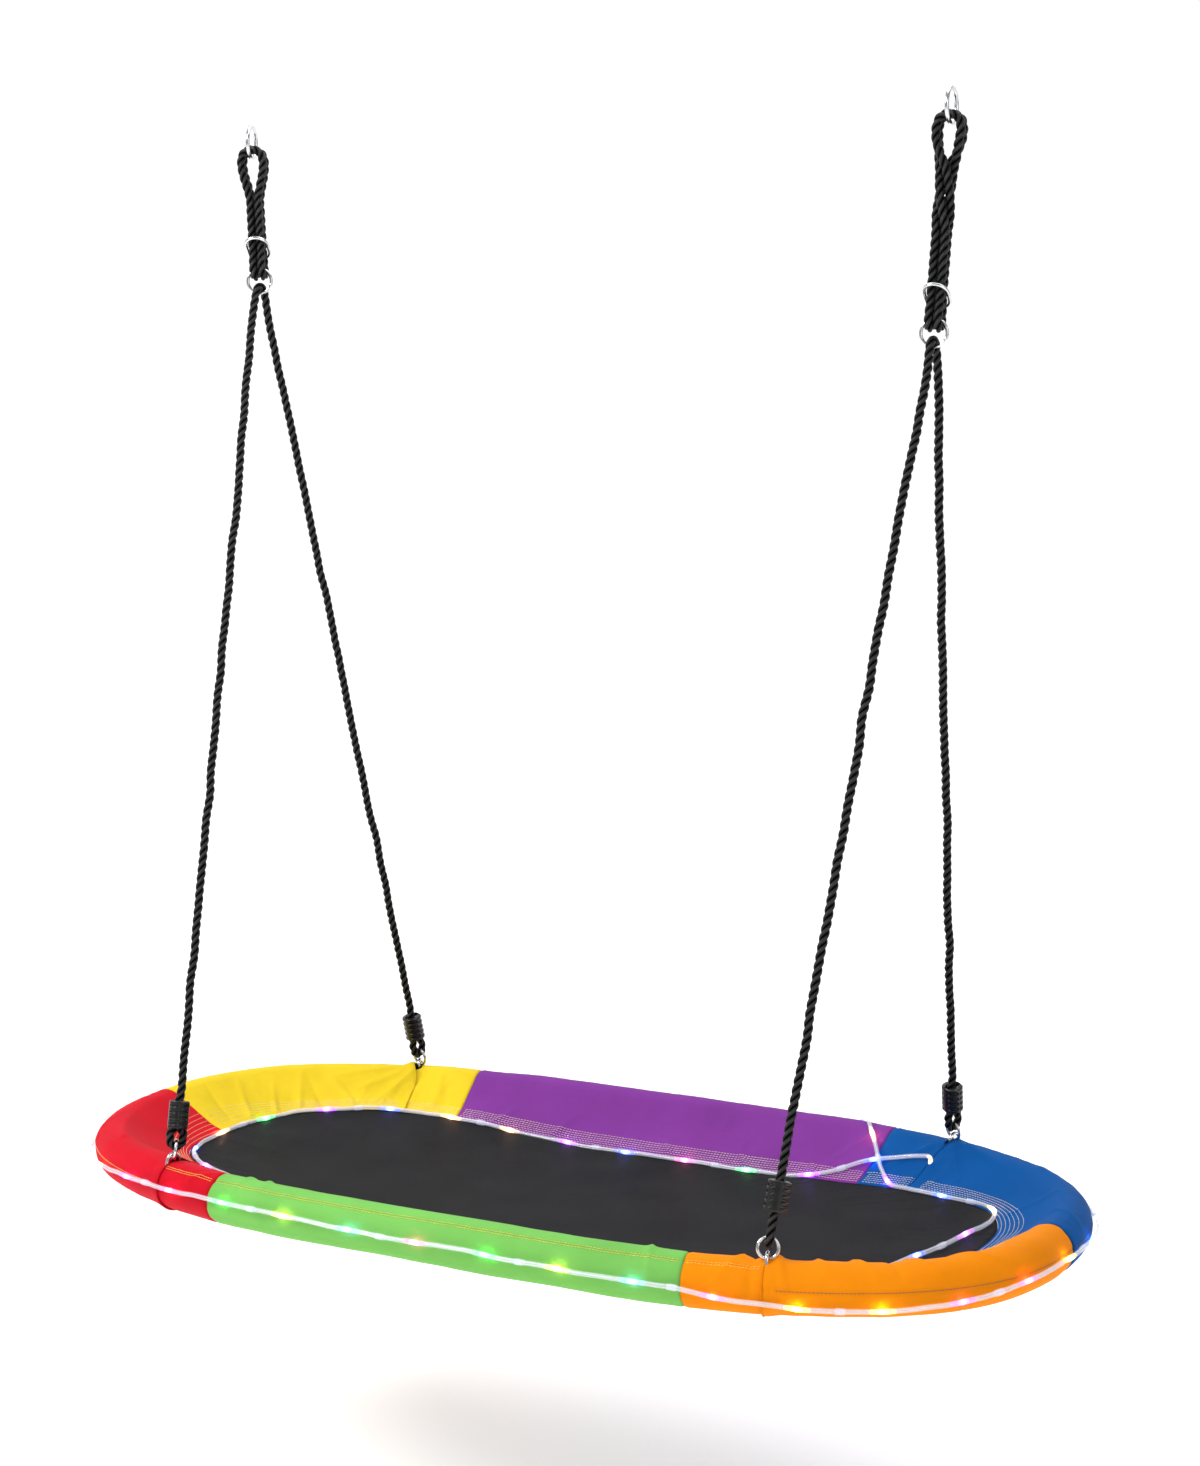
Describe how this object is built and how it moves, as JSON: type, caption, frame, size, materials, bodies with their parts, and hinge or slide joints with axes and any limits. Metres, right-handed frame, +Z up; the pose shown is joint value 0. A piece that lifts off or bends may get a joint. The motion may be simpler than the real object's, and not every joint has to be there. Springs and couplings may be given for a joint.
{
  "type": "platform swing",
  "caption": "Oval padded platform swing with a woven mat, hung from steel rings by black rope bridles, with a light string round its rim.",
  "frame": {"origin": "midway between the two hang rings, on the line through the inner tops of the rings where hooks carry them", "axes": "+Z up; +X along the seat towards the blue and orange end; +Y to the purple side"},
  "size_m": [1.5451, 0.8242, 1.5967],
  "materials": {
    "ring_steel": "zinc-plated round steel wire, bright",
    "frame_steel": "grey powder-coated steel tube",
    "black_rope": "black laid polypropylene rope, slight sheen",
    "clamp_plastic": "black moulded nylon, ribbed",
    "foam": "closed-cell foam sleeve, dark grey",
    "fabric_red": "woven coated polyester, red",
    "fabric_yellow": "woven coated polyester, yellow",
    "fabric_purple": "woven coated polyester, purple",
    "fabric_blue": "woven coated polyester, blue",
    "fabric_orange": "woven coated polyester, orange",
    "fabric_green": "woven coated polyester, green",
    "mat_fabric": "dark charcoal woven sling mesh",
    "light_tube": "clear PVC tube with small lights inside",
    "box_plastic": "black moulded plastic",
    "pouch_fabric": "black woven nylon"
  },
  "bodies": {
    "hangers": {"hang_ring_left": "ring_steel", "hang_ring_right": "ring_steel"},
    "upper_ropes": {"hang_rope_left": "black_rope", "cinch_ring_left": "ring_steel", "adjust_ring_left": "ring_steel", "hang_rope_right": "black_rope", "cinch_ring_right": "ring_steel", "adjust_ring_right": "ring_steel"},
    "left_bridle": {"bridle_rope_left": "black_rope", "seat_ring_near_left": "ring_steel", "seat_ring_far_left": "ring_steel"},
    "right_bridle": {"bridle_rope_right": "black_rope", "seat_ring_near_right": "ring_steel", "seat_ring_far_right": "ring_steel"},
    "clamp_near_left": {"rope_clamp_near_left": "clamp_plastic"},
    "clamp_far_left": {"rope_clamp_far_left": "clamp_plastic"},
    "clamp_near_right": {"rope_clamp_near_right": "clamp_plastic"},
    "clamp_far_right": {"rope_clamp_far_right": "clamp_plastic"},
    "light_switch": {"switch_button": "box_plastic"},
    "seat": {"frame_end_left": "frame_steel", "foam_end_left": "foam", "frame_end_right": "frame_steel", "foam_end_right": "foam", "frame_side_near": "frame_steel", "foam_side_near": "foam", "frame_side_far": "frame_steel", "foam_side_far": "foam", "rope_eye_near_left": "ring_steel", "splice_sleeve_near_left": "frame_steel", "spring_button_near_left": "frame_steel", "rope_eye_far_left": "ring_steel", "splice_sleeve_far_left": "frame_steel", "spring_button_far_left": "frame_steel", "rope_eye_near_right": "ring_steel", "splice_sleeve_near_right": "frame_steel", "spring_button_near_right": "frame_steel", "rope_eye_far_right": "ring_steel", "splice_sleeve_far_right": "frame_steel", "spring_button_far_right": "frame_steel", "cover_red": "fabric_red", "cover_red_flap": "fabric_red", "cover_yellow": "fabric_yellow", "cover_yellow_flap": "fabric_yellow", "cover_purple": "fabric_purple", "cover_blue": "fabric_blue", "cover_blue_flap": "fabric_blue", "cover_orange": "fabric_orange", "cover_orange_flap": "fabric_orange", "cover_green": "fabric_green", "mat": "mat_fabric", "light_string": "light_tube", "battery_box": "box_plastic", "battery_lid": "box_plastic", "battery_pouch": "pouch_fabric"}
  },
  "joints": [
    {"name": "side_swing", "type": "hinge", "parent": "hangers", "child": "upper_ropes", "pos_m": [0, 0, -0.02], "axis": [1, 0, 0], "range_deg": [-22, 22]},
    {"name": "left_sway", "type": "hinge", "parent": "upper_ropes", "child": "left_bridle", "pos_m": [-0.54053, 0, -0.242], "axis": [0, 1, 0], "range_deg": [-7, 7]},
    {"name": "right_sway", "type": "hinge", "parent": "upper_ropes", "child": "right_bridle", "pos_m": [0.53519, 0, -0.33], "axis": [0, 1, 0], "range_deg": [-7.6, 7.6]},
    {"name": "seat_level", "type": "hinge", "parent": "left_bridle", "child": "seat", "pos_m": [-0.466, 0, -1.47], "axis": [0, 1, 0], "range_deg": [-8.3, 8.3]},
    {"name": "clamp_slide_near_left", "type": "slide", "parent": "left_bridle", "child": "clamp_near_left", "axis": [-0.0587, 0.2501, 0.9664], "range_m": [0, 0.02]},
    {"name": "clamp_slide_far_left", "type": "slide", "parent": "left_bridle", "child": "clamp_far_left", "axis": [-0.0587, -0.2501, 0.9664], "range_m": [0, 0.02]},
    {"name": "clamp_slide_near_right", "type": "slide", "parent": "right_bridle", "child": "clamp_near_right", "axis": [0.0584, 0.2681, 0.9616], "range_m": [0, 0.02]},
    {"name": "clamp_slide_far_right", "type": "slide", "parent": "right_bridle", "child": "clamp_far_right", "axis": [0.0584, -0.2681, 0.9616], "range_m": [0, 0.02]},
    {"name": "switch_press", "type": "slide", "parent": "seat", "child": "light_switch", "axis": [-0.2905, -0.9569, 0], "range_m": [0, 0.0015], "stiffness_N_per_m": 400, "springref_m": -0.0005}
  ],
  "couplings": [
    {"joint": "right_sway", "follows": "left_sway", "ratio": 1.078},
    {"joint": "seat_level", "follows": "left_sway", "ratio": -1.168}
  ]
}
